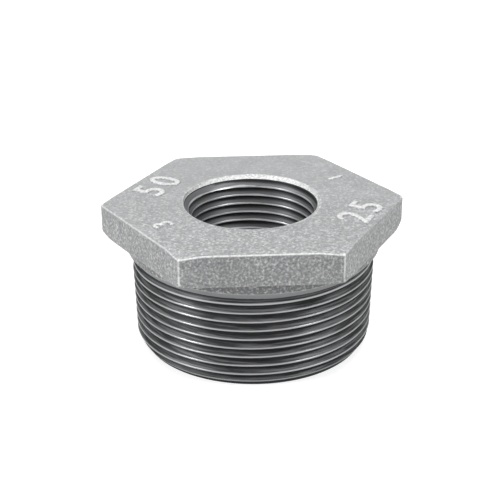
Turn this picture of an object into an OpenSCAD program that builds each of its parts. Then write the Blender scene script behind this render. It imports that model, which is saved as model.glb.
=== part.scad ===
// Hexagon reducing bush in malleable cast iron: a taper male thread outside, a
// parallel female thread inside. It stands on its small end, with +Z up the axis,
// the origin at the centre of the lower face and two hexagon corners on the X axis.

/* [Body] */
// Height from the lower face to the top of the hexagon
total_height = 36; // [34:0.5:40]
// Diameter over the crests of the male thread, at its gauge plane
male_major_d = 59.614; // [59:0.1:60.5]
// Height of the gauge plane above the lower face
gauge_height = 15.9; // [14:0.1:17]
// Growth of the male thread's diameter for each millimetre of height
male_taper = 0.0625; // [0:0.0025:0.08]

/* [Hexagon] */
// Width across the flats
across_flats = 65; // [65:0.5:70]
// Height of the hexagon
hexagon_height = 7.8; // [6:0.2:10]
// Radius of the six cast corners
corner_radius = 1.2; // [0.6:0.2:3]
// Bevel that breaks the upper and lower edges
edge_break = 0.5; // [0.3:0.1:1]

/* [Neck] */
// Diameter of the rough collar where it leaves the hexagon
collar_top_d = 64.4; // [63.6:0.1:64.8]
// Diameter of the rough collar at its lower edge
collar_bottom_d = 63.4; // [62.8:0.1:63.6]
// Height of the rough collar
collar_height = 2.7; // [2:0.1:3.4]
// Step between the rough collar and the turned cone below it
collar_lip = 0.3; // [0.1:0.1:0.6]
// Height of the turned cone between the collar and the thread
relief_height = 2.4; // [1.6:0.1:3]

/* [Male thread] */
// Threads in each inch, on both threads
threads_per_inch = 11; // [10:1:14]
// Height over which the grooves grow shallow, in turns
runout_turns = 1.5; // [1:0.1:2.5]
// Direction round the axis in which the thread starts
start_angle = 133; // [0:1:359]
// Diameter of the lower face, inside the lead-in bevel
lower_face_d = 55.4; // [54:0.1:57]
// Height of the lead-in bevel
lead_in_height = 3.2; // [2:0.1:4]

/* [Female thread] */
// Diameter over the crests of the female thread
female_minor_d = 30.291; // [29:0.1:31]
// Diameter at the roots of the female thread
female_major_d = 33.249; // [32.4:0.1:34]
// Diameter of the rough mouth at the top face
mouth_d = 34.8; // [34.2:0.1:36]
// Depth of the rough mouth
mouth_depth = 0.8; // [0.4:0.1:1.5]

/* [Cored recess] */
// Diameter of the recess at the lower face
recess_lower_d = 46; // [42:0.5:48]
// Diameter of the recess at its upper end
recess_upper_d = 45; // [40:0.5:46]
// Depth of the straight part of the recess
recess_depth = 13; // [8:0.5:15]
// Height of the sloping roof of the recess
roof_height = 4.5; // [3:0.5:6]

/* [Hidden] */
$fn = 96;
overshoot = 1;
cast_grey = [0.66, 0.67, 0.68];

sides = 6;
corner_steps = 4;
corner_angle = 360 / sides;
corner_distance = across_flats / 2 / cos(corner_angle / 2);
hexagon_base = total_height - hexagon_height;

collar_base = hexagon_base - collar_height;
thread_top = collar_base - relief_height;

inch = 25.4;
pitch = inch / threads_per_inch;
flank_angle = 27.5;
thread_depth = 0.640327 * pitch;
crest_flat = pitch / 6;
root_bury = 0.2;
steps_per_turn = 48;
start_height = 0.6;
thread_turns = (thread_top - start_height) / pitch;
runout_base = thread_top - runout_turns * pitch;

function male_crest_r(z) = male_major_d / 2 + (z - gauge_height) * male_taper / 2;
function male_root_r(z) = male_crest_r(z) - thread_depth;
function lead_in_r(z) =
    lower_face_d / 2 + (male_crest_r(lead_in_height) - lower_face_d / 2) * z / lead_in_height;

bevel_depth = (female_major_d - female_minor_d) / 2;
bevel_base = total_height - mouth_depth - bevel_depth;

// Rounded outline of the hexagon, as straight flats and short chords at the corners
function hexagon_outline() = [
    for (side = [0 : sides - 1], step = [0 : corner_steps])
        let (
            middle = side * corner_angle,
            turn = middle + corner_angle * (step / corner_steps - 0.5),
            centre = corner_distance - corner_radius / cos(corner_angle / 2)
        )
        [centre * cos(middle) + corner_radius * cos(turn), centre * sin(middle) + corner_radius * sin(turn)]
];

// Cuts that bevel the six edges of the hexagon at one height
module edge_cut(height) {
    for (side = [0 : sides - 1])
        rotate([0, 0, (side + 0.5) * corner_angle])
            translate([across_flats / 2, 0, height])
                rotate([0, 45, 0])
                    cube([edge_break * sqrt(2), across_flats, edge_break * sqrt(2)], center = true);
}

module hexagon() {
    difference() {
        translate([0, 0, hexagon_base])
            linear_extrude(height = hexagon_height)
                polygon(hexagon_outline());
        edge_cut(total_height);
        edge_cut(hexagon_base);
    }
}

// Everything that is round about the axis below the hexagon, in one half section
module turned_body() {
    rotate_extrude()
        polygon([
            [0, 0],
            [lower_face_d / 2, 0],
            [male_root_r(start_height), start_height],
            [male_root_r(runout_base), runout_base],
            [male_crest_r(thread_top), thread_top],
            [collar_bottom_d / 2 - collar_lip, collar_base],
            [collar_bottom_d / 2, collar_base + collar_lip / 2],
            [collar_top_d / 2, hexagon_base],
            [collar_top_d / 2 - overshoot, hexagon_base + overshoot],
            [0, hexagon_base + overshoot]
        ]);
}

// Section of the thread's ridge at one place on its helix, limited by the lead-in bevel
function ridge_section(z) =
    let (
        half_crest = crest_flat / 2,
        half_base = half_crest + (thread_depth + root_bury) * tan(flank_angle),
        low = max(z - half_crest, 0),
        high = z + half_crest
    )
    [
        [male_root_r(z) - root_bury, max(z - half_base, 0)],
        [min(male_crest_r(low), lead_in_r(low)), low],
        [min(male_crest_r(high), lead_in_r(high)), high],
        [male_root_r(z) - root_bury, z + half_base]
    ];

// Helical ridge swept up the cone of the male thread
module male_ridge() {
    count = ceil(thread_turns * steps_per_turn);
    corners = 4;
    points = [
        for (i = [0 : count])
            let (
                turn = thread_turns * i / count,
                angle = start_angle + 360 * turn,
                section = ridge_section(start_height + pitch * turn)
            )
            for (corner = section)
                [corner[0] * cos(angle), corner[0] * sin(angle), corner[1]]
    ];
    skin = [
        for (i = [0 : count - 1], k = [0 : corners - 1])
            let (
                a = i * corners + k,
                b = i * corners + (k + 1) % corners
            )
            for (triangle = [[a, b, b + corners], [a, b + corners, a + corners]])
                triangle
    ];
    first = [[0, 3, 2], [0, 2, 1]];
    base = count * corners;
    last = [[base, base + 1, base + 2], [base, base + 2, base + 3]];
    polyhedron(points = points, faces = concat(skin, first, last), convexity = 20);
}

// The way through: rough mouth, bevel, wall of the female thread, roof and cored recess
module waterway() {
    translate([0, 0, total_height - mouth_depth])
        cylinder(h = mouth_depth, d1 = female_major_d, d2 = mouth_d);
    translate([0, 0, total_height])
        cylinder(h = overshoot, d = mouth_d);
    translate([0, 0, bevel_base])
        cylinder(h = bevel_depth, d1 = female_minor_d, d2 = female_major_d);
    translate([0, 0, recess_depth])
        cylinder(h = total_height - recess_depth, d = female_minor_d);
    translate([0, 0, recess_depth])
        cylinder(h = roof_height, d1 = recess_upper_d, d2 = female_minor_d);
    cylinder(h = recess_depth, d1 = recess_lower_d, d2 = recess_upper_d);
    translate([0, 0, -overshoot])
        cylinder(h = overshoot, d = recess_lower_d);
}

module bush() {
    color(cast_grey)
        difference() {
            union() {
                hexagon();
                turned_body();
                male_ridge();
            }
            waterway();
        }
}

bush();
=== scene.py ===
"""Looks of a hexagon reducing bush: cast and galvanised head, cut threads outside and inside."""
import math
from functools import partial

import bmesh
import bpy
import numpy as np
from bpy.props import FloatProperty, FloatVectorProperty, IntProperty, PointerProperty, StringProperty
from mathutils import Matrix, Vector


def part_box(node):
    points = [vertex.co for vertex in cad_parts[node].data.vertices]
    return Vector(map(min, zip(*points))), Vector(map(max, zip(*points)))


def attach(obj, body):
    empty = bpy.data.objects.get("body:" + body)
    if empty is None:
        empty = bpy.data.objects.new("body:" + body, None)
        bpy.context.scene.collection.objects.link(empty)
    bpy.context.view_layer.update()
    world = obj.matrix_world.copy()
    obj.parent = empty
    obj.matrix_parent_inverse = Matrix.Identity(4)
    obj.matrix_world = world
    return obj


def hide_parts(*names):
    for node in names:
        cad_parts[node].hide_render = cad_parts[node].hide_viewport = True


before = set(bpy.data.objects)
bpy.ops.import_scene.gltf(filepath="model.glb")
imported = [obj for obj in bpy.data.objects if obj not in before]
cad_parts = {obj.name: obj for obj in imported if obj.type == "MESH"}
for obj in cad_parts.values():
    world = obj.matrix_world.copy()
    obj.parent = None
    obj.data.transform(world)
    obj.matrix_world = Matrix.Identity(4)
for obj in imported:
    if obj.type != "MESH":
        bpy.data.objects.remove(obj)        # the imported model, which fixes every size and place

bl_info = {
    "name": "Reducing bush",
    "version": (1, 0, 0),
    "blender": (4, 5, 0),
    "location": "3D View > Sidebar > Bush",
    "description": "Dresses a packed hexagon reducing bush: cast skin, cut threads and raised numerals",
    "category": "Mesh",
}

MM = 0.001
NODE = "bush"
ZINC = "Hot-dip galvanised cast iron"
SIDES = 6
SECTOR = 2 * math.pi / SIDES
# The 55 degree thread form: half its angle, its depth in pitches, and what it leaves off a sharp crest
HALF_ANGLE = math.radians(27.5)
FORM_DEPTH = 0.640327
FORM_CUT = 0.160082
# The side of the wall on which a thread is cut
OUTSIDE = 1
INSIDE = -1
# Faces that meet at a greater angle than this keep a sharp edge between them
SHARP_FROM = math.radians(50)
# Kinds of node that are used often
MATH = "ShaderNodeMath"
RANGE = "ShaderNodeMapRange"
SWITCH = "GeometryNodeSwitch"
# Size marks: numerals, direction of their edge, turn about Z, place along the edge and height in mm
MARKS = (
    ("50", 150, 60, 2.0, 8.4),
    ("25", 330, 60, 4.6, 8.4),
    ("3", 210, 120, 1.0, 5.0),
    ("1", 30, -60, 1.0, 4.5),
)
# Soft boxes: name, place and width in metres, power in watts
LAMPS = (
    ("over_left", (-0.31, 0.345, 0.85), 0.25, 2.6),
    ("front_left", (-0.72, -0.28, 0.48), 0.2, 3.8),
    ("over_right", (0.3, 0.265, 0.88), 0.2, 2.4),
    ("front_right", (0.54, -0.34, 0.65), 0.15, 2.5),
)
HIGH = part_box(NODE)[1]
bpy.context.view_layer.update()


def hex_colour(text):
    """An sRGB hex colour as the linear colour that shaders take."""
    values = [int(text[i:i + 2], 16) / 255 for i in (0, 2, 4)]
    return [v / 12.92 if v <= 0.04045 else ((v + 0.055) / 1.055) ** 2.4 for v in values] + [1.0]


def length(name, millimetres, description):
    """A length property, given in millimetres and held in metres."""
    return FloatProperty(name=name, default=millimetres * MM, unit="LENGTH", subtype="DISTANCE",
                         precision=5, description=description)


def lengths(name, millimetres, description):
    """Six lengths, one for each side or corner, given in millimetres and held in metres."""
    return FloatVectorProperty(name=name, size=SIDES, default=[v * MM for v in millimetres], unit="LENGTH",
                               precision=5, description=description)


def turned_by(name, degrees, description):
    """An angle property, given in degrees and held in radians."""
    return FloatProperty(name=name, default=math.radians(degrees), unit="ROTATION", subtype="ANGLE",
                         precision=5, description=description)


def colour(name, value, description):
    """A colour property, held as sRGB hex."""
    return StringProperty(name=name, default=value, description=description)


class BushSizes(bpy.types.PropertyGroup):
    """Sizes of the bush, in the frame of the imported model."""
    across_flats: length("Across flats", HIGH[1] / MM * 2 - 0.3, "Width of the hexagon between two flats")
    flat_shift: lengths("Flat shift", (0.3, 0.14, 0.05, 0.05, 0.0, -0.05),
                        "How far each cast flat lies outside its nominal place, from 30 degrees")
    mark_height: length("Mark height", 0.28, "How far the numerals stand above the top face")
    stroke_edge: length("Stroke edge", 0.36, "Radius of the rounded strokes of the numerals")
    hexagon_base: length("Hexagon base", 27.8, "Height at which the flats begin")
    corner_radii: lengths("Corner radii", (2.6, 3.4, 2.6, 1.6, 1.5, 1.4),
                          "Radius of each cast corner, from 0 degrees")
    corner_cut_r: length("Corner cut", 34.4, "Radius from which the six corners slope away")
    upper_slopes: FloatVectorProperty(name="Upper slopes", size=SIDES,
                                      default=(0.06, 0.06, 0.1, 0.06, 0.32, 0.27),
                                      description="Slope of the top face at each corner, from 0 degrees")
    lower_rises: lengths("Lower rises", (2.7, 0.6, 0.6, 1.5, 0.3, 0.3),
                         "How far the underside rises to each corner, from 0 degrees")
    corner_reach: length("Corner reach", 2.9, "Width of the sloping part of each corner")
    upper_edge: length("Upper edge", 0.45, "Radius of the edge round the top face")
    # Mostly a painted highlight: the front upper edge and the one left of it are painted brightest, the
    # other edges only a little rubbed
    edge_wear_and_highlight: FloatVectorProperty(name="Edge wear and highlight", size=SIDES, default=(0.15, 0.1, 0.15, 0.5, 0.95, 0.2),
                                   description="How far each upper edge is rubbed bright, from 30 degrees")
    lower_edge: length("Lower edge", 0.3, "Radius of the edge round the underside")
    collar_top_r: length("Collar, upper radius", 31.7, "Radius of the rough collar under the hexagon")
    collar_low_r: length("Collar, lower radius", 31.3, "Radius of the rough collar at its lower edge")
    collar_base: length("Collar base", 25.2, "Height of the collar's lower edge")
    collar_lip: length("Collar lip", 0.3, "Step between the collar and the turned cone below it")
    thread_top: length("Thread top", 23.5, "Height at which the male thread ends in a turned cone")
    pitch: length("Pitch", 25.4 / 11, "Distance from crest to crest, on both threads")
    male_gauge_r: length("Male crest radius", 29.88, "Radius over the crests at the gauge plane")
    gauge_height: length("Gauge height", 15.9, "Height of the gauge plane")
    rounding: length("Rounding", 0.55, "Width over which crests and roots are rounded")
    male_slope: FloatProperty(name="Male slope", default=1 / 32,
                              description="Growth of the male crest radius with height")
    male_phase: length("Male phase", -0.316, "Height of one crest of the male thread at the +X corner")
    lower_face_r: length("Lower face radius", 27.6, "Outer radius of the lower face")
    lead_in_height: length("Lead-in height", 2.7, "Height of the bevel at the male thread's small end")
    runout_turns: FloatProperty(name="Run-out turns", default=1.5,
                                description="Turns in which the grooves grow shallow")
    blank_r: length("Blank radius", 29.65, "Radius of the turned blank at the thread top")
    blank_slope: FloatProperty(name="Blank slope", default=-0.1, description="Growth of the blank's radius")
    female_crest_r: length("Female crest radius", 15.1455, "Radius over the crests of the female thread")
    female_crest_cut: length("Female crest cut", 0.03, "How far the female crests are flattened")
    female_phase: length("Female phase", 0.579, "Height of one crest of the female thread at the +X corner")
    mouth_r: length("Mouth radius", 17.4, "Mean radius of the rough cast mouth at the top face")
    mouth_oval: length("Mouth oval", 0.6, "How much longer the mouth is along Y than its mean")
    mouth_depth: length("Mouth depth", 0.9, "Depth of the rough mouth, down to the turned bevel")
    mouth_edge: length("Mouth edge", 0.45, "Width of the rounding between mouth and top face")
    bevel_r: length("Bevel radius", 16.3, "Radius of the bevel over the female thread, at its upper edge")
    bevel_shift: length("Bevel shift", 0.55, "How far the bevel lies to the left of the thread's axis")
    bevel_slope: FloatProperty(name="Bevel slope", default=0.85, description="Growth of the bevel's radius")
    bevel_step: length("Bevel step", 0.25, "Height of the dark step between bevel and mouth")
    recess_low_r: length("Recess, lower radius", 23.0, "Radius of the cored recess at the lower face")
    recess_top_r: length("Recess, upper radius", 22.5, "Radius of the cored recess at its upper end")
    recess_edge: length("Recess edge", 0.4, "Width of the rubbed edge at the recess's foot")
    recess_depth: length("Recess depth", 13.0, "Depth of the straight part of the recess")
    roof_height: length("Roof height", 4.5, "Height of the sloping roof of the recess")
    columns: IntProperty(name="Columns", default=92, description="Columns of faces in each sixth of a turn")


class BushFinish(bpy.types.PropertyGroup):
    """Colours of the bush and sizes of its surface grain."""
    zinc_skin: colour("Zinc skin", "A9AAAB", "Dipped zinc over the cast skin")
    zinc_shade: colour("Zinc shade", "909192", "Duller patches of the zinc")
    # Also the colour towards which the collar, the underside and the mouth are darkened as painted shade
    zinc_pit: colour("Zinc pits", "5C5D5E", "Pits between the grains of the skin")
    # Also the colour of the painted highlights along edges, corners, the mouth and the numerals
    zinc_edge: colour("Zinc edge", "F0F0F0", "Rubbed edges and bright grains")
    cut_flank: colour("Cut flank", "505152", "Flanks of the male thread")
    cut_streak: colour("Cut streak", "8C8D8E", "Tool marks along those flanks")
    # Painted shade: the colour of the roots and of the flanks that face down
    cut_root: colour("Cut root", "333536", "Roots and undersides of both threads")
    # Painted highlight along the crests of the male thread, which are also rubbed smooth
    cut_crest: colour("Cut crest", "ADAEAF", "Rubbed crests of the male thread")
    # The female thread is painted lighter than the male, a lit copy of the same cut iron, and its crests
    # carry a brighter painted highlight
    tapped_flank: colour("Tapped flank", "828384", "Flanks of the female thread")
    tapped_crest: colour("Tapped crest", "DEDFE0", "Crests of the female thread")
    # Depth given to the bevel's edge: at this value it takes none of the painted crest highlight
    bevel_shade: FloatProperty(name="Bevel shade", default=0.4,
                               description="How dull the bevel is at its edge, from 0 to 1")
    sand_grain: length("Sand grain", 0.6, "Width of one grain of the cast skin")
    swell: length("Swell", 9.0, "Width of one slow wave of the cast skin")
    sand_depth: length("Sand depth", 0.06, "Depth of the cast grain that is modelled")
    swell_depth: length("Swell depth", 0.06, "Depth of the slow waves that are modelled")


class StageLook(bpy.types.PropertyGroup):
    """Camera, floor and surround."""
    distance: length("Distance", 302.31, "From the camera to the point that it looks at")
    aim_height: length("Aim height", 20.0, "Height of the point on the axis near which the camera looks")
    aim_right: length("Aim right", -0.787, "Shift of that point to the camera's right")
    aim_up: length("Aim up", 2.135, "Shift of that point to the camera's top")
    elevation: turned_by("Elevation", 24.285, "Camera above the horizon")
    azimuth: turned_by("Azimuth", -3.359, "Camera round the axis")
    roll: turned_by("Roll", -0.27, "Camera turned about its own line")
    lens: FloatProperty(name="Lens", default=86.904, unit="CAMERA",
                        description="Focal length on a 36 mm sensor, in millimetres")
    floor_size: length("Floor size", 6000.0, "Width of the floor")
    floor_colour: colour("Floor colour", "C4C4C4", "Paper under the bush")
    floor_glow: FloatProperty(name="Floor glow", default=0.72,
                              description="White that the camera sees on the floor")
    surround: FloatProperty(name="Surround", default=0.3, description="Strength of the pale surround")


def add_node(tree, kind, inputs=None, **settings):
    """Adds one node with its settings; an input is a value, or the socket or the node that feeds it."""
    node = tree.nodes.new(kind)
    for name, value in settings.items():
        setattr(node, name, value)
    for key, value in (inputs or {}).items():
        source = value.outputs[0] if isinstance(value, bpy.types.Node) else value
        if isinstance(source, bpy.types.NodeSocket):
            tree.links.new(source, node.inputs[key])
        else:
            node.inputs[key].default_value = source
    return node


def emptied(owner):
    """Empties the node tree of a material or a world, and gives the function that adds to that tree."""
    owner.use_nodes = True
    owner.node_tree.nodes.clear()
    return partial(add_node, owner.node_tree)


def linked_object(context, name, data):
    """A new object that holds the data, in the scene."""
    made = bpy.data.objects.new(name, data)
    context.collection.objects.link(made)
    return made


def column_angles(columns):
    """Angles round the axis, crowded at the six corners and wide at the middle of each flat."""
    crowding = 0.35
    half_flat = math.tan(SECTOR / 2)
    part = np.linspace(-1, 1, columns + 1)[:-1]
    along = part * (crowding + (1 - crowding) * np.abs(part)) * half_flat
    # Distance along a flat, counted from a corner, as an angle round the axis
    off = np.sign(along) * (SECTOR / 2 - np.arctan(half_flat - np.abs(along)))
    seam = off[:1] + SECTOR * (SIDES + 1)
    return np.concatenate([off + SECTOR * (side + 1) for side in range(SIDES)] + [seam])


def between(start, end, part):
    """The value that lies a share of the way from one to another."""
    return start + (end - start) * part


def hexagon_radius(angles, sizes, inset):
    """Distance from the axis to the hexagon's rounded outline, drawn in by an inset."""
    far = 1.0
    least_facing = 0.4
    least_radius = 0.1 * MM
    # A blend of two flats as wide as this share of the corner radius follows the corner's arc
    blend = np.maximum(by_corner(angles, sizes.corner_radii) - inset, least_radius) * math.tan(SECTOR / 2)
    reach = np.full(angles.shape, far)
    for side, shift in enumerate(sizes.flat_shift):
        facing = np.cos(angles - SECTOR * (side + 0.5))
        distance = (sizes.across_flats / 2 + shift - inset) / np.maximum(facing, least_facing)
        flat = np.where(facing > least_facing, distance, far)
        near = np.maximum(1 - np.abs(reach - flat) / blend, 0.0)
        reach = np.minimum(reach, flat) - near ** 2 * blend / 4
    return reach


def by_side(angles, values):
    """The value of the flat that lies in each direction."""
    return np.array(values)[(angles // SECTOR).astype(int) % SIDES]


def by_corner(angles, values):
    """The value of the corner that is nearest in each direction."""
    return np.array(values)[np.rint(angles / SECTOR).astype(int) % SIDES]


def corner_drop(angles, sizes, radius):
    """How far the top face falls away towards each corner."""
    return np.maximum(radius - sizes.corner_cut_r, 0.0) * by_corner(angles, sizes.upper_slopes)


def corner_rise(angles, sizes, radius):
    """How far the underside rises towards each corner, steeper and steeper."""
    part = np.maximum(radius - sizes.corner_cut_r, 0.0) / sizes.corner_reach
    return part ** 2 * by_corner(angles, sizes.lower_rises)


def weld(made):
    """Merges doubled points, drops faces without area and turns all faces outwards."""
    work = bmesh.new()
    work.from_mesh(made)
    bmesh.ops.remove_doubles(work, verts=work.verts, dist=0.002 * MM)
    bmesh.ops.dissolve_degenerate(work, edges=work.edges, dist=0.001 * MM)
    bmesh.ops.recalc_face_normals(work, faces=work.faces)
    work.to_mesh(made)
    work.free()


class Skin:
    """Rows of points round the axis, from which the closed skin of the bush is made.

    The marks of a row are how coarse its cast skin is, which above 1 also darkens it as painted shade
    (cast), how bright it is rubbed or painted with a highlight (edge), how deep its cut metal lies for the
    painted crest highlight and root shade (deep), and for a thread its side of the wall (side) and the
    radius of its bevel (mouth).
    """

    def __init__(self, angles, thinning):
        self.fine = angles
        self.coarse = angles[::thinning]
        self.rows = []

    def add(self, radius, height, cut=False, **marks):
        """One row, with its marks, and whether the faces up to the next row are cut metal."""
        plain = {"cast": 0.0, "edge": 0.0, "mouth": 0.0, "deep": 0.35, "side": 0}
        given = {"radius": radius, "height": height} | plain | marks
        angles = self.coarse if given["side"] else self.fine
        row = {name: np.broadcast_to(value, angles.shape) for name, value in given.items()}
        self.rows.append(row | {"angle": angles, "cut": cut})

    def mesh(self, name):
        """Joins the rows and the last row to the first, and welds the seam."""
        starts = np.cumsum([0] + [len(row["angle"]) for row in self.rows])
        points = [
            (r * math.cos(a), r * math.sin(a), z)
            for row in self.rows
            for a, r, z in zip(row["angle"], row["radius"], row["height"])
        ]
        faces = []
        cut = []
        for j, row in enumerate(self.rows):
            k = (j + 1) % len(self.rows)
            below, above = len(row["angle"]) - 1, len(self.rows[k]["angle"]) - 1
            cells = min(below, above)
            for i in range(cells):
                lower = range(i * below // cells, (i + 1) * below // cells + 1)
                upper = range((i + 1) * above // cells, i * above // cells - 1, -1)
                faces.append([int(starts[j]) + v for v in lower] + [int(starts[k]) + v for v in upper])
            cut += [row["cut"]] * cells
        made = bpy.data.meshes.new(name)
        made.from_pydata(points, [], faces)
        for mark in ("cast", "edge", "mouth", "deep", "side"):
            values = np.concatenate([row[mark] for row in self.rows])
            kind = "INT" if mark == "side" else "FLOAT"
            made.attributes.new(mark, kind, "POINT").data.foreach_set("value", values)
        made.attributes.new("cut", "BOOLEAN", "FACE").data.foreach_set("value", cut)
        weld(made)
        return made


def thread_rows(skin, sizes, low, high, phase, side, mouth=0.0):
    """Rows that climb with the thread, held between two heights, denser on its crests and roots."""
    steps = (0.0, 0.06, 0.12, 0.18, 0.25, 0.38, 0.44, 0.5, 0.56, 0.62, 0.75, 0.82, 0.88, 0.94)
    turn = skin.coarse / (2 * math.pi)
    first = math.floor((low - phase) / sizes.pitch - turn.max()) - 1
    last = math.ceil((high - phase) / sizes.pitch - turn.min()) + 1
    climbs = [k + step for k in range(first, last) for step in steps]
    # One row more at each end, so that both ends close in a full ring where the rows meet
    spare = sizes.pitch * 0.15
    rough_r = sizes.male_gauge_r if side == OUTSIDE else sizes.female_crest_r
    for climb in climbs if side == OUTSIDE else reversed(climbs):
        height = phase + sizes.pitch * (climb + turn)
        if height.max() > low - spare and height.min() < high + spare:
            skin.add(rough_r, np.clip(height, low, high), cut=True, side=side, mouth=mouth)


def male_crest_r(sizes, height):
    """Radius over the crests of the male thread, which tapers."""
    return sizes.male_gauge_r + (height - sizes.gauge_height) * sizes.male_slope


def top_height(sizes):
    """Height of the top face, under the numerals."""
    return HIGH[2] - sizes.mark_height


def bevel_height(sizes):
    """Height of the upper edge of the bevel over the female thread."""
    return top_height(sizes) - sizes.mouth_depth


def roof_height(sizes):
    """Height at which the roof of the recess meets the female thread."""
    return sizes.recess_depth + sizes.roof_height


def mouth_radius(sizes, angles):
    """Radius of the rough oval mouth at the top face, which follows the bevel's shift in part."""
    shift = 0.6 * sizes.bevel_shift
    return sizes.mouth_r - sizes.mouth_oval * np.cos(2 * angles) - shift * np.cos(angles)


def bevel_radius(sizes, angles):
    """Radius of the bevel's upper edge, which isn't quite true to the thread."""
    return sizes.bevel_r - sizes.bevel_shift * np.cos(angles)


def bush_skin(sizes):
    """The whole skin, from the lower face up the outside, over the top and down the inside."""
    skin = Skin(column_angles(sizes.columns), thinning=4)
    lower_face_rows(skin, sizes)
    thread_rows(skin, sizes, 0.0, sizes.thread_top, sizes.male_phase, OUTSIDE)
    relief_rows(skin, sizes)
    collar_rows(skin, sizes)
    underside_rows(skin, sizes)
    hexagon_rows(skin, sizes)
    top_face_rows(skin, sizes)
    mouth_rows(skin, sizes)
    thread_rows(skin, sizes, roof_height(sizes), bevel_height(sizes), sizes.female_phase, INSIDE,
                mouth=bevel_radius(sizes, skin.coarse))
    recess_rows(skin, sizes)
    return skin.mesh(NODE)


def lower_face_rows(skin, sizes):
    """The turned ring on which the bush stands."""
    inner = sizes.recess_low_r + sizes.recess_edge
    for part in np.linspace(0, 1, 4):
        skin.add(between(inner, sizes.lower_face_r, part), 0.0, cut=True)


def relief_rows(skin, sizes):
    """The turned cone between the male thread and the collar, a little duller than the crests but taking
    part of the painted crest highlight, which makes up for the shade under the hexagon.
    """
    dullness = 0.068
    upper_r = sizes.collar_low_r - sizes.collar_lip
    for part in (0.0, 0.04, 0.35, 0.7, 0.97, 1.0):
        skin.add(between(sizes.blank_r, upper_r, part), between(sizes.thread_top, sizes.collar_base, part),
                 cut=True, deep=dullness)


def collar_rows(skin, sizes):
    """The rough collar, darkened partly by its coarser skin and partly as painted shade under the hexagon,
    whose lower edge is rubbed.
    """
    lip_r = 0.05 * MM
    lip_height = 0.08 * MM
    skin.add(sizes.collar_low_r - sizes.collar_lip + lip_r, sizes.collar_base, edge=0.4)
    skin.add(sizes.collar_low_r - lip_r, sizes.collar_base + lip_height, cast=1.0, edge=0.9)
    for part in np.linspace(0.08, 0.95, 7):
        skin.add(between(sizes.collar_low_r, sizes.collar_top_r, part),
                 between(sizes.collar_base, sizes.hexagon_base, part), cast=1.5)


def underside_rows(skin, sizes):
    """The underside of the hexagon, which rises to its corners, is coarsest along the collar and is
    darkened all over as painted shade.
    """
    least_width = 0.02 * MM
    outer = hexagon_radius(skin.fine, sizes, sizes.lower_edge)
    inner = np.minimum(sizes.collar_top_r, outer - least_width)
    by_collar = 0.2
    for part in (0.0, 0.04, 0.12, 0.3, 0.5, 0.7, 0.88):
        radius = between(inner, outer, part)
        skin.add(radius, sizes.hexagon_base + corner_rise(skin.fine, sizes, radius),
                 cast=1.6 if part < by_collar else 1.3)


def hexagon_rows(skin, sizes):
    """Lower edge, flats and upper edge of the hexagon. A narrow line down each corner is painted bright as
    a highlight.
    """
    angles = skin.fine
    # Width and peak of the painted highlight down each corner
    line_width, line_peak = 0.3 * MM, 1.2
    off = np.abs((angles + SECTOR / 2) % SECTOR - SECTOR / 2)
    corner_highlight = np.clip(line_peak - off * sizes.across_flats / 2 / line_width, 0.0, 1.0)
    foot = sizes.hexagon_base + corner_rise(angles, sizes, hexagon_radius(angles, sizes, sizes.lower_edge))
    for turn in np.radians((-90, -60, -30, 0)):
        inset = sizes.lower_edge * (1 - math.cos(turn))
        skin.add(hexagon_radius(angles, sizes, inset), foot + sizes.lower_edge * (1 + math.sin(turn)),
                 cast=1.0, edge=0.1)
    low = foot + sizes.lower_edge
    rim = corner_drop(angles, sizes, hexagon_radius(angles, sizes, sizes.upper_edge))
    high = top_height(sizes) - sizes.upper_edge - rim
    for part in np.linspace(0.06, 0.97, 16):
        skin.add(hexagon_radius(angles, sizes, 0.0), between(low, high, part), cast=1.0, edge=corner_highlight)
    for turn in np.radians((0, 20, 40, 60, 75, 90)):
        inset = sizes.upper_edge * (1 - math.cos(turn))
        # Painted highlight along the upper edge, strongest on the front edges, with a little wear on the
        # rest
        rubbed = by_side(angles, sizes.edge_wear_and_highlight) * math.sin(2 * turn)
        skin.add(hexagon_radius(angles, sizes, inset), high + sizes.upper_edge * math.sin(turn),
                 cast=0.6, edge=np.maximum(rubbed, corner_highlight))


def top_face_rows(skin, sizes):
    """The top face, which falls to its corners and is smoothest at the back."""
    angles = skin.fine
    outer = hexagon_radius(angles, sizes, sizes.upper_edge)
    inner = mouth_radius(sizes, angles) + sizes.mouth_edge
    coarseness = 0.6 - 0.25 * np.sin(angles)
    # Rows crowd a little towards the mouth
    for part in 1 - np.linspace(0.985, 0.0, 40) ** 1.15:
        radius = between(outer, inner, part)
        skin.add(radius, top_height(sizes) - corner_drop(angles, sizes, radius), cast=coarseness)


def mouth_rows(skin, sizes):
    """The rough mouth, rubbed all round and with a painted highlight strongest at the back, and the step at
    its foot, painted dark as shadow.
    """
    angles = skin.fine
    first_drop = 0.05 * MM
    step_width = 0.12 * MM
    # The step stands this far outside the bevel, at its top and at its foot
    top_gap, foot_gap = 0.1 * MM, 0.02 * MM
    # Direction in which the painted highlight on the mouth is brightest
    brightest = math.radians(70)
    mouth = mouth_radius(sizes, angles)
    bevel = bevel_radius(sizes, angles)
    foot = bevel_height(sizes)
    step_top = foot + sizes.bevel_step
    for part in (0.0, 0.08, 0.2, 0.35, 0.5, 0.65, 0.8, 0.92):
        top = top_height(sizes) - first_drop * (part > 0)
        height = top - (top_height(sizes) - first_drop - step_top) * part
        skin.add(between(mouth, bevel + step_width, part), height,
                 cast=1.25, edge=0.4 + 0.25 * np.cos(angles - brightest))
    # The step is painted dark, as the shadow in the gap between mouth and bevel
    skin.add(bevel + top_gap, step_top, cut=True, deep=1.0)
    skin.add(bevel + foot_gap, foot + foot_gap, cut=True, deep=1.0)


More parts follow.
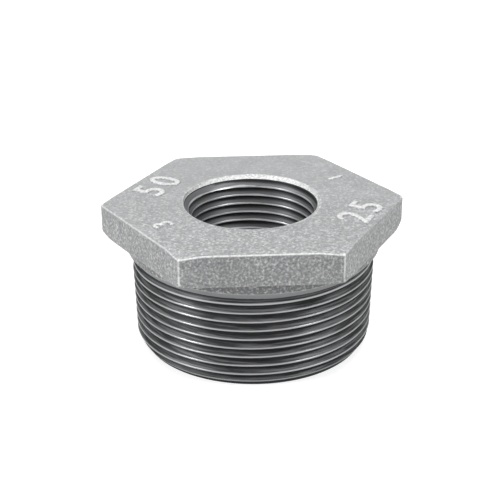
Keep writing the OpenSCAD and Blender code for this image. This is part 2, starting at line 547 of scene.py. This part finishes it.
def recess_rows(skin, sizes):
    """The sloping roof and the wall of the cored recess, down to its rubbed edge."""
    roof = roof_height(sizes)
    skin.add(sizes.female_crest_r, roof)
    for part in (0.04, 0.25, 0.5, 0.75, 0.95):
        skin.add(between(sizes.female_crest_r, sizes.recess_top_r, part), roof - sizes.roof_height * part,
                 cast=0.8)
    for part in (0.03, 0.2, 0.4, 0.6, 0.8, 0.94):
        skin.add(between(sizes.recess_top_r, sizes.recess_low_r, part), sizes.recess_depth * (1 - part),
                 cast=1.0)
    skin.add(sizes.recess_low_r, sizes.recess_edge, edge=0.4)


def numeral_mesh(context, sizes, mark):
    """One cast size mark, its foot sunk into the top face and its strokes rounded."""
    text, edge, turn, along, height = mark
    # The built-in font's numerals are this share of its size high
    share = 0.73
    distance = 26.2 * MM
    letters = bpy.data.curves.new("mark", "FONT")
    letters.body = text
    letters.size = height * MM / share
    letters.align_x = "CENTER"
    letters.space_character = 1.3
    letters.resolution_u = 5
    letters.bevel_resolution = 2
    letters.bevel_depth = sizes.stroke_edge
    letters.extrude = sizes.mark_height
    letters.offset = -0.3 * sizes.stroke_edge
    holder = linked_object(context, "mark", letters)
    made = bpy.data.meshes.new_from_object(holder.evaluated_get(context.evaluated_depsgraph_get()))
    bpy.data.objects.remove(holder)
    facing = math.radians(edge)
    place = Vector((math.cos(facing), math.sin(facing), 0)) * distance
    place += Vector((-math.sin(facing), math.cos(facing), 0)) * along * MM
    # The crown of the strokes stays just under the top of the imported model
    crown_gap = 0.01 * MM
    place.z = HIGH[2] - crown_gap - sizes.mark_height - sizes.stroke_edge
    centre = Matrix.Translation((0, -height * MM / 2, 0))
    made.transform(Matrix.Translation(place) @ Matrix.Rotation(math.radians(turn), 4, "Z") @ centre)
    weld(made)
    return made


def declare_inputs(tree, values):
    """Inputs of the thread tree: its geometry, its sizes and slopes, and the two metals."""
    face = tree.interface
    face.new_socket("Geometry", in_out="INPUT", socket_type="NodeSocketGeometry")
    for name, value in values.items():
        kind = "NodeSocketMaterial" if isinstance(value, bpy.types.Material) else "NodeSocketFloat"
        face.new_socket(name, in_out="INPUT", socket_type=kind)
    face.new_socket("Geometry", in_out="OUTPUT", socket_type="NodeSocketGeometry")


def distance_along(add, given, z, angle, is_male):
    """Distance along the axis from a crest of the thread, which climbs one pitch in each turn."""
    turn = add(MATH, {0: angle, 1: 2 * math.pi}, operation="DIVIDE")
    climb = add(MATH, {0: turn, 1: given["Pitch"]}, operation="MULTIPLY")
    phase = add(SWITCH, {0: is_male, 1: given["Female phase"], 2: given["Male phase"]}, input_type="FLOAT")
    level = add(MATH, {0: z, 1: phase}, operation="SUBTRACT")
    return add(MATH, {0: level, 1: climb}, operation="SUBTRACT")


def thread_drop(add, given, along):
    """Drop below the crest: with the root rounded, with both rounded, and that as a share of the depth."""
    half, depth, sharp = (
        add(MATH, {0: given["Pitch"], 1: share}, operation="MULTIPLY")
        for share in (0.5, FORM_DEPTH, FORM_CUT)
    )
    away = add(MATH, {0: along, 1: half}, operation="PINGPONG")
    flank = add(MATH, {0: away, 1: math.tan(HALF_ANGLE)}, operation="DIVIDE")
    line = add(MATH, {0: flank, 1: sharp}, operation="SUBTRACT")
    rooted = add(MATH, {0: line, 1: depth, 2: given["Rounding"]}, operation="SMOOTH_MIN")
    drop = add(MATH, {0: rooted, 1: 0.0, 2: given["Rounding"]}, operation="SMOOTH_MAX")
    deep = add(MATH, {0: drop, 1: depth}, operation="DIVIDE")
    return rooted, drop, deep


def male_form(add, given, z, drop, deep):
    """Radius of the male thread and its depth for the painted shade and crest highlight, with its turned
    blank, its run-out and its lead-in.
    """
    crest, blank, lead_in, runout = (
        add(MATH, {0: z, 1: given[f"{part} slope"], 2: given[f"{part} radius"]}, operation="MULTIPLY_ADD")
        for part in ("Male", "Blank", "Lead-in", "Run-out")
    )
    form = add(MATH, {0: crest, 1: drop}, operation="SUBTRACT")
    turned = add(MATH, {0: form, 1: blank}, operation="MINIMUM")
    filled = add(MATH, {0: turned, 1: runout}, operation="MAXIMUM")
    radius = add(MATH, {0: filled, 1: lead_in}, operation="MINIMUM")
    # The lead-in cuts the last crests to a slope that takes a little less of the painted crest highlight
    # than the others
    least_cut, full_cut, dullness = 0.02 * MM, 0.14 * MM, 0.03
    cut_off = add(MATH, {0: filled, 1: radius}, operation="SUBTRACT")
    sloped = add(RANGE, {0: cut_off, 1: least_cut, 2: full_cut, 4: dullness})
    duller = add(MATH, {0: deep, 1: sloped}, operation="MAXIMUM")
    return radius, duller


def female_form(add, given, z, rooted, deep, is_female):
    """Radius of the female thread and its depth for the painted shade and crest highlight, with its run-out
    and bevel, and where that bevel is.
    """
    edge_r = add("GeometryNodeInputNamedAttribute", {"Name": "mouth"}, data_type="FLOAT")
    blunt = add(MATH, {0: rooted, 1: given["Female crest cut"]}, operation="SUBTRACT")
    opened = add(MATH, {0: blunt, 1: 0.0}, operation="MAXIMUM")
    groove = add(MATH, {0: given["Female radius"], 1: opened}, operation="ADD")
    stop = add(MATH, {0: z, 1: given["Female run-out"]}, operation="ADD")
    tapped = add(MATH, {0: groove, 1: stop}, operation="MINIMUM")
    held = add(MATH, {0: tapped, 1: edge_r}, operation="MINIMUM")
    below = add(MATH, {0: z, 1: given["Bevel height"]}, operation="SUBTRACT")
    cone = add(MATH, {0: below, 1: given["Bevel slope"], 2: edge_r}, operation="MULTIPLY_ADD")
    radius = add(MATH, {0: held, 1: cone}, operation="MAXIMUM")
    on_cone = add("FunctionNodeCompare", {0: cone, 1: held}, data_type="FLOAT", operation="GREATER_THAN")
    bevelled = add("FunctionNodeBooleanMath", {0: on_cone, 1: is_female}, operation="AND")
    # The bevel keeps the flank colour along its edge and takes more and more of the painted crest highlight
    # from this far below it
    dull_to, bright_from, least_dull = -0.2 * MM, -1.0 * MM, 0.085
    shade = add(RANGE, {0: below, 1: dull_to, 2: bright_from, 3: given["Bevel shade"], 4: least_dull})
    duller = add(SWITCH, {0: bevelled, 1: deep, 2: shade}, input_type="FLOAT")
    return radius, duller, bevelled


def facing_down(add, given, along, deep, in_groove):
    """Near 1 on the flank under each crest, which faces down and is painted dark as shade, and 0 elsewhere.
    """
    # Shares of a pitch above a crest between which the groove turns to face down
    turns_from, turned_at = 0.42, 0.56
    # Shares of the thread's depth between which a crest passes into its flank
    crest_end, flank_start = 0.02, 0.1
    turns = add(MATH, {0: along, 1: given["Pitch"]}, operation="DIVIDE")
    past_crest = add(MATH, {0: turns}, operation="FRACT")
    below = add(RANGE, {0: past_crest, 1: turns_from, 2: turned_at})
    off_crest = add(RANGE, {0: deep, 1: crest_end, 2: flank_start})
    down = add(MATH, {0: below, 1: off_crest}, operation="MULTIPLY")
    return add(SWITCH, {0: in_groove, 1: 0.0, 2: down}, input_type="FLOAT")


def grain_skin(add, given, geometry):
    """Pushes the cast skin in along its normal, never out, by a fine grain and slow waves."""
    grain, swell = (
        add("ShaderNodeTexNoise", {
            "Scale": add(MATH, {0: 1.0, 1: given[width]}, operation="DIVIDE"),
            "Detail": detail,
        })
        for width, detail in (("Grain width", 2.0), ("Swell width", 1.0))
    )
    fine = add(MATH, {0: grain, 1: given["Grain depth"]}, operation="MULTIPLY")
    both = add(MATH, {0: swell, 1: given["Swell depth"], 2: fine}, operation="MULTIPLY_ADD")
    cast = add("GeometryNodeInputNamedAttribute", {"Name": "cast"}, data_type="FLOAT")
    push = add(MATH, {0: both, 1: cast}, operation="MULTIPLY")
    inward = add(MATH, {0: push, 1: -1.0}, operation="MULTIPLY")
    normal = add("GeometryNodeInputNormal")
    offset = add("ShaderNodeVectorMath", {0: normal, "Scale": inward}, operation="SCALE")
    return add("GeometryNodeSetPosition", {"Geometry": geometry, "Offset": offset})


def dress_faces(add, given, geometry):
    """Gives the cast faces and the cut faces their metals."""
    is_cut = add("GeometryNodeInputNamedAttribute", {"Name": "cut"}, data_type="BOOLEAN")
    is_cast = add("FunctionNodeBooleanMath", {0: is_cut}, operation="NOT")
    dressed = add("GeometryNodeRealizeInstances", {0: geometry})
    for faces, metal in ((is_cast, "Cast metal"), (is_cut, "Cut metal")):
        dressed = add("GeometryNodeSetMaterial",
                      {"Geometry": dressed, "Selection": faces, "Material": given[metal]})
    return dressed


def thread_tree(values):
    """Geometry Nodes that cut the threads to their rounded 55 degree form and grain the cast skin."""
    tree = bpy.data.node_groups.new("Cut threads and cast grain", "GeometryNodeTree")
    declare_inputs(tree, values)
    add = partial(add_node, tree)
    given = add("NodeGroupInput").outputs
    place = add("GeometryNodeInputPosition")
    x, y, z = add("ShaderNodeSeparateXYZ", {0: place}).outputs
    angle = add(MATH, {0: y, 1: x}, operation="ARCTAN2")
    side = add("GeometryNodeInputNamedAttribute", {"Name": "side"}, data_type="INT")
    is_male, is_female = (
        add("FunctionNodeCompare", {2: side, 3: wanted}, data_type="INT", operation="EQUAL")
        for wanted in (OUTSIDE, INSIDE)
    )
    threaded = add("FunctionNodeBooleanMath", {0: is_male, 1: is_female}, operation="OR")
    along = distance_along(add, given, z, angle, is_male)
    rooted, drop, deep = thread_drop(add, given, along)
    male_r, male_shading = male_form(add, given, z, drop, deep)
    female_r, female_shading, bevelled = female_form(add, given, z, rooted, deep, is_female)

    # Marks that the painted shade and highlights follow: the flank that faces down, depth below the crest,
    # and the female thread, which is painted lighter
    in_groove = add("FunctionNodeBooleanMath", {0: threaded, 1: bevelled}, operation="NIMPLY")
    under = facing_down(add, given, along, deep, in_groove)
    dull = add(SWITCH, {0: is_male, 1: female_shading, 2: male_shading}, input_type="FLOAT")
    plain = add("GeometryNodeInputNamedAttribute", {"Name": "deep"}, data_type="FLOAT")
    sunk = add(SWITCH, {0: threaded, 1: plain, 2: dull}, input_type="FLOAT")
    inside = add(SWITCH, {0: is_female, 1: 0.0, 2: 1.0}, input_type="FLOAT")
    geometry = given["Geometry"]
    for name, value in (("under", under), ("depth", sunk), ("tapped", inside)):
        geometry = add("GeometryNodeStoreNamedAttribute",
                       {"Geometry": geometry, "Name": name, "Value": value},
                       data_type="FLOAT", domain="POINT")

    radius = add(SWITCH, {0: is_male, 1: female_r, 2: male_r}, input_type="FLOAT")
    cosine = add(MATH, {0: angle}, operation="COSINE")
    sine = add(MATH, {0: angle}, operation="SINE")
    new_x = add(MATH, {0: cosine, 1: radius}, operation="MULTIPLY")
    new_y = add(MATH, {0: sine, 1: radius}, operation="MULTIPLY")
    new_place = add("ShaderNodeCombineXYZ", {0: new_x, 1: new_y, 2: z})
    cut = add("GeometryNodeSetPosition",
              {"Geometry": geometry, "Selection": threaded, "Position": new_place})
    add("NodeGroupOutput", {0: dress_faces(add, given, grain_skin(add, given, cut))})
    return tree


def apply_nodes(piece, tree, values):
    """Runs a node tree on a piece and keeps the result as its plain mesh."""
    modifier = piece.modifiers.new("Build", "NODES")
    modifier.node_group = tree
    sockets = {item.name: item.identifier for item in tree.interface.items_tree if item.in_out == "INPUT"}
    for name, value in values.items():
        modifier[sockets[name]] = value
    graph = bpy.context.evaluated_depsgraph_get()
    made = bpy.data.meshes.new_from_object(piece.evaluated_get(graph))
    piece.modifiers.remove(modifier)
    weld(made)
    piece.data = made


def thread_values(sizes, finish):
    """Values of the thread tree's inputs, from the sizes."""
    lead_in_slope = (male_crest_r(sizes, sizes.lead_in_height) - sizes.lower_face_r) / sizes.lead_in_height
    runout_low = sizes.thread_top - sizes.runout_turns * sizes.pitch
    root_r = male_crest_r(sizes, runout_low) - FORM_DEPTH * sizes.pitch
    runout_slope = (sizes.blank_r - root_r) / (sizes.thread_top - runout_low)
    return {
        "Pitch": sizes.pitch,
        "Rounding": sizes.rounding,
        "Male phase": sizes.male_phase,
        "Male radius": male_crest_r(sizes, 0.0),
        "Male slope": sizes.male_slope,
        "Lead-in radius": sizes.lower_face_r,
        "Lead-in slope": lead_in_slope,
        "Run-out radius": sizes.blank_r - runout_slope * sizes.thread_top,
        "Run-out slope": runout_slope,
        "Blank radius": sizes.blank_r - sizes.blank_slope * sizes.thread_top,
        "Blank slope": sizes.blank_slope,
        "Female phase": sizes.female_phase,
        "Female radius": sizes.female_crest_r,
        "Female crest cut": sizes.female_crest_cut,
        "Female run-out": sizes.female_crest_r - roof_height(sizes),
        "Bevel slope": sizes.bevel_slope,
        "Bevel height": bevel_height(sizes),
        "Bevel shade": finish.bevel_shade,
        "Grain width": finish.sand_grain,
        "Grain depth": finish.sand_depth,
        "Swell width": finish.swell,
        "Swell depth": finish.swell_depth,
        "Cast metal": cast_zinc(finish),
        "Cut metal": cut_iron(finish),
    }


def cast_zinc(finish):
    """Hot-dip galvanised malleable iron: a sand-cast skin under dull zinc, soft grey with fine sparkle."""
    patch_width = 7 * MM
    bump_depth = 0.16 * MM
    # Levels of the noise at a pit, on the plain skin and on a bright grain, and how strongly the two show
    pit, plain, shine = 0.3, 0.52, 0.7
    contrast = 0.65
    # Marks of the smoothest cast skin, of the flats and of the collar
    smooth, flats, rough_collar, coarsest = 0.3, 1.0, 1.3, 1.5
    made = bpy.data.materials.new(ZINC)
    add = emptied(made)
    place = add("ShaderNodeTexCoord").outputs["Object"]
    cast = add("ShaderNodeAttribute", attribute_name="cast").outputs["Fac"]
    edge = add("ShaderNodeAttribute", attribute_name="edge").outputs["Fac"]
    patches = add("ShaderNodeTexNoise", {"Vector": place, "Scale": 1 / patch_width, "Detail": 3.0})
    grain = add("ShaderNodeTexNoise",
                {"Vector": place, "Scale": 1 / finish.sand_grain, "Detail": 3.0, "Roughness": 0.6})

    # Colour: slow patches, each grain a little lighter or darker, darker where the skin is coarser than on
    # the flats (collar, underside and mouth: a duller skin and painted shade under the hexagon), bright
    # where rubbed or where a highlight is painted
    amount = add(RANGE, {0: cast, 1: smooth, 2: flats, 3: 0.3, 4: 1.0})
    darker, lighter = (
        add(RANGE, {0: grain, 1: plain, 2: end, 4: contrast})
        for end in (pit, shine)
    )
    dark_grain, light_grain = (
        add(MATH, {0: part, 1: amount}, operation="MULTIPLY")
        for part in (darker, lighter)
    )
    # Painted shade: the collar, the underside and the mouth are darkened towards the pits' colour, for the
    # shade under the hexagon as well as their coarser skin
    coarse = add(RANGE, {0: cast, 1: flats, 2: rough_collar})
    dull = add(MATH, {0: coarse, 1: 0.5}, operation="MULTIPLY")
    # Rubbed edges and painted highlights, broken up by the grain
    broken_by_grain = add(RANGE, {0: grain, 1: pit, 2: 0.55, 3: 0.45, 4: 1.0})
    rub_and_highlight = add(MATH, {0: edge, 1: broken_by_grain}, operation="MULTIPLY")
    shown = hex_colour(finish.zinc_shade)
    for share, layer in ((patches, finish.zinc_skin), (dark_grain, finish.zinc_pit),
                         (dull, finish.zinc_pit), (light_grain, finish.zinc_edge), (rub_and_highlight, finish.zinc_edge)):
        shown = add("ShaderNodeMix", {0: share, 6: shown, 7: hex_colour(layer)},
                    data_type="RGBA").outputs[2]

    rough = add(RANGE, {0: grain, 1: pit, 2: shine, 3: 0.42, 4: 0.62})
    strength = add(RANGE, {0: cast, 1: smooth, 2: coarsest, 3: 0.25, 4: 1.0})
    bump = add("ShaderNodeBump", {"Height": grain, "Strength": strength, "Distance": bump_depth})
    shader = add("ShaderNodeBsdfPrincipled",
                 {"Base Color": shown, "Metallic": 0.25, "Roughness": rough, "Normal": bump})
    add("ShaderNodeOutputMaterial", {0: shader})
    return made


def cut_iron(finish):
    """Thread cut after dipping: bare turned iron, with painted shade in its roots and under each crest and
    a painted highlight on its rubbed crests.
    """
    mark_width = 3.0 * MM
    bump_depth = 0.05 * MM
    # Tool marks are long round the axis and narrow along it, and coarser than real ones so that they show
    mark_shape = (0.35, 0.35, 12.0)
    # Depths between which the painted crest highlight ends, as shares of the thread's depth, and how ragged
    # that line is
    crest_full, crest_end, raggedness = 0.02, 0.13, 0.22
    made = bpy.data.materials.new("Die-cut bare iron")
    add = emptied(made)
    place = add("ShaderNodeTexCoord").outputs["Object"]
    deep, under, tapped = (
        add("ShaderNodeAttribute", attribute_name=name).outputs["Fac"]
        for name in ("depth", "under", "tapped")
    )
    stretched = add("ShaderNodeMapping", {"Vector": place, "Scale": mark_shape})
    lines = add("ShaderNodeTexNoise", {"Vector": stretched, "Scale": 1 / mark_width, "Detail": 3.0})
    ragged = add(MATH, {0: lines, 1: raggedness, 2: -raggedness / 2}, operation="MULTIPLY_ADD")
    ragged_crest_depth = add(MATH, {0: deep, 1: ragged}, operation="ADD")
    crest = add(RANGE, {0: ragged_crest_depth, 1: crest_full, 2: crest_end, 3: 1.0, 4: 0.0})
    # Painted shade: darker towards the roots and on the flank that faces down under each crest
    root = add(RANGE, {0: deep, 1: 0.5, 2: 1.0, 4: 0.8})
    shade = add(MATH, {0: root, 1: under}, operation="MAXIMUM")
    streak = add(RANGE, {0: lines, 1: 0.42, 2: 0.62})
    # Colour of the painted crest highlight, lighter on the female thread
    top = add("ShaderNodeMix", {0: tapped, 6: hex_colour(finish.cut_crest),
                                7: hex_colour(finish.tapped_crest)}, data_type="RGBA").outputs[2]
    shown = hex_colour(finish.cut_flank)
    for share, layer in ((streak, hex_colour(finish.cut_streak)), (tapped, hex_colour(finish.tapped_flank)),
                         (shade, hex_colour(finish.cut_root)), (crest, top)):
        shown = add("ShaderNodeMix", {0: share, 6: shown, 7: layer}, data_type="RGBA").outputs[2]

    # The flanks are torn and the crests rubbed smooth
    torn = add(RANGE, {0: lines, 1: 0.3, 2: 0.7, 3: 0.6, 4: 0.72})
    rough = add("ShaderNodeMix", {0: crest, 2: torn, 3: 0.36}, data_type="FLOAT")
    # Tool marks run round the axis, so highlights are drawn out up and down, most on the flanks
    drawn_out = add(RANGE, {0: crest, 3: 0.83, 4: 0.6})
    round_axis = add("ShaderNodeTangent", direction_type="RADIAL", axis="Z")
    bump = add("ShaderNodeBump", {"Height": lines, "Strength": 0.4, "Distance": bump_depth})
    shader = add("ShaderNodeBsdfPrincipled", {"Base Color": shown, "Metallic": 0.85, "Roughness": rough,
                                              "Normal": bump, "Specular Tint": (0.6, 0.6, 0.6, 1.0),
                                              "Anisotropic": drawn_out, "Anisotropic Rotation": 0.25,
                                              "Tangent": round_axis})
    add("ShaderNodeOutputMaterial", {0: shader})
    return made


class BUSH_OT_casting(bpy.types.Operator):
    """Makes the one-piece bush with both threads"""
    bl_idname = "bush.casting"
    bl_label = "Make the bush"

    def execute(self, context):
        sizes = context.scene.bush_sizes
        finish = context.scene.bush_finish
        piece = linked_object(context, "bush_body", bush_skin(sizes))
        values = thread_values(sizes, finish)
        apply_nodes(piece, thread_tree(values), values)
        piece.data.shade_smooth()
        piece.data.set_sharp_from_angle(angle=SHARP_FROM)
        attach(piece, "root")
        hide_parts(NODE)
        return {"FINISHED"}


class BUSH_OT_numerals(bpy.types.Operator):
    """Makes the raised size marks on the top face"""
    bl_idname = "bush.numerals"
    bl_label = "Make the numerals"

    def execute(self, context):
        sizes = context.scene.bush_sizes
        zinc = bpy.data.materials[ZINC]
        # Brightest share of the painted highlight on the crowns of the strokes
        brightest = 0.7
        for number, mark in enumerate(MARKS, 1):
            made = numeral_mesh(context, sizes, mark)
            heights = np.array([point.co.z for point in made.vertices])
            # The crowns of the strokes are rubbed bright and carry a painted highlight, which fades out
            # towards the face
            rubbed = np.clip((heights - top_height(sizes)) / sizes.mark_height, 0, 1) ** 2 * brightest
            made.attributes.new("edge", "FLOAT", "POINT").data.foreach_set("value", rubbed)
            made.attributes.new("cast", "FLOAT", "POINT").data.foreach_set("value", np.ones(len(heights)))
            made.materials.clear()
            made.materials.append(zinc)
            piece = linked_object(context, f"size_mark_{number}", made)
            made.shade_smooth()
            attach(piece, "root")
        return {"FINISHED"}


class BUSH_OT_stage(bpy.types.Operator):
    """Makes the floor, the lamps and the camera"""
    bl_idname = "bush.stage"
    bl_label = "Make the stage"

    def execute(self, context):
        look = context.scene.bush_stage
        make_floor(context, look)
        make_world(context, look)
        make_lamps(context, look)
        make_camera(context, look)
        context.scene.view_settings.view_transform = "Standard"
        return {"FINISHED"}


def white_in_view(add, shader, seen):
    """Shows one shader in view, in reflections and through glass, and the other to everything else."""
    rays = add("ShaderNodeLightPath").outputs
    shown = add(MATH, {0: rays["Is Camera Ray"], 1: rays["Is Glossy Ray"]}, operation="MAXIMUM")
    clear = add(MATH, {0: shown, 1: rays["Is Transmission Ray"]}, operation="MAXIMUM")
    return add("ShaderNodeMixShader", {0: clear, 1: shader, 2: seen})


def make_floor(context, look):
    """A plain pale floor under the bush, white in view but for the bush's own soft shadow."""
    half = look.floor_size / 2
    data = bpy.data.meshes.new("floor")
    corners = [(-half, -half, 0), (half, -half, 0), (half, half, 0), (-half, half, 0)]
    data.from_pydata(corners, [], [(0, 1, 2, 3)])
    floor = linked_object(context, "floor", data)
    paint = bpy.data.materials.new("White paper floor")
    add = emptied(paint)
    paper = add("ShaderNodeBsdfDiffuse", {"Color": hex_colour(look.floor_colour)})
    glow = add("ShaderNodeEmission", {"Strength": look.floor_glow})
    white = add("ShaderNodeAddShader", {0: paper, 1: glow})
    add("ShaderNodeOutputMaterial", {0: white_in_view(add, paper, white)})
    data.materials.append(paint)


def make_world(context, look):
    """An even pale surround, white in view."""
    world = bpy.data.worlds.new("Studio")
    context.scene.world = world
    add = emptied(world)
    surround = add("ShaderNodeBackground", {"Strength": look.surround})
    white = add("ShaderNodeBackground", {"Color": hex_colour("FFFFFF")})
    add("ShaderNodeOutputWorld", {0: white_in_view(add, surround, white)})


def make_lamps(context, look):
    """Soft boxes: two overhead for the top and the flanks, two in front for the sides and the crests."""
    aim = Vector((0, 0, look.aim_height))
    for name, place, size, power in LAMPS:
        lamp = bpy.data.lights.new(name, "AREA")
        lamp.size = size
        lamp.energy = power
        holder = linked_object(context, name, lamp)
        holder.location = place
        holder.rotation_euler = (aim - Vector(place)).to_track_quat("-Z", "Y").to_euler()


def make_camera(context, look):
    """The camera at the photograph's distance and angle."""
    level = Vector((math.cos(look.azimuth), math.sin(look.azimuth), 0.0))
    outward = Vector((math.sin(look.azimuth), -math.cos(look.azimuth), 0.0))
    back = outward * math.cos(look.elevation) + Vector((0.0, 0.0, math.sin(look.elevation)))
    upright = back.cross(level)
    right = level * math.cos(look.roll) + upright * math.sin(look.roll)
    up = upright * math.cos(look.roll) - level * math.sin(look.roll)
    data = bpy.data.cameras.new("camera")
    data.lens = look.lens
    data.sensor_width = 36.0
    camera = linked_object(context, "camera", data)
    aim = Vector((0, 0, look.aim_height)) + right * look.aim_right + up * look.aim_up
    turn = Matrix((right, up, back)).transposed().to_4x4()
    camera.matrix_world = Matrix.Translation(aim + back * look.distance) @ turn
    context.scene.camera = camera


class BUSH_PT_panel(bpy.types.Panel):
    """Lists what makes the bush"""
    bl_label = "Reducing bush"
    bl_idname = "BUSH_PT_panel"
    bl_space_type = "VIEW_3D"
    bl_region_type = "UI"
    bl_category = "Bush"

    def draw(self, context):
        for group in (context.scene.bush_sizes, context.scene.bush_finish, context.scene.bush_stage):
            box = self.layout.box()
            for name in group.bl_rna.properties.keys():
                if name not in {"rna_type", "name"}:
                    box.prop(group, name)
        for operator in OPERATORS:
            self.layout.operator(operator.bl_idname)


OPERATORS = (BUSH_OT_casting, BUSH_OT_numerals, BUSH_OT_stage)
GROUPS = (BushSizes, BushFinish, StageLook)
CLASSES = GROUPS + OPERATORS + (BUSH_PT_panel,)


def register():
    """Makes the classes and their settings known to Blender."""
    for item in CLASSES:
        bpy.utils.register_class(item)
    bpy.types.Scene.bush_sizes = PointerProperty(type=BushSizes)
    bpy.types.Scene.bush_finish = PointerProperty(type=BushFinish)
    bpy.types.Scene.bush_stage = PointerProperty(type=StageLook)


def unregister():
    """Takes the settings and the classes away again."""
    del bpy.types.Scene.bush_stage
    del bpy.types.Scene.bush_finish
    del bpy.types.Scene.bush_sizes
    for item in reversed(CLASSES):
        bpy.utils.unregister_class(item)


def main():
    """Makes every piece."""
    register()
    bpy.ops.bush.casting()
    bpy.ops.bush.numerals()
    bpy.ops.bush.stage()


if __name__ == "__main__":
    main()
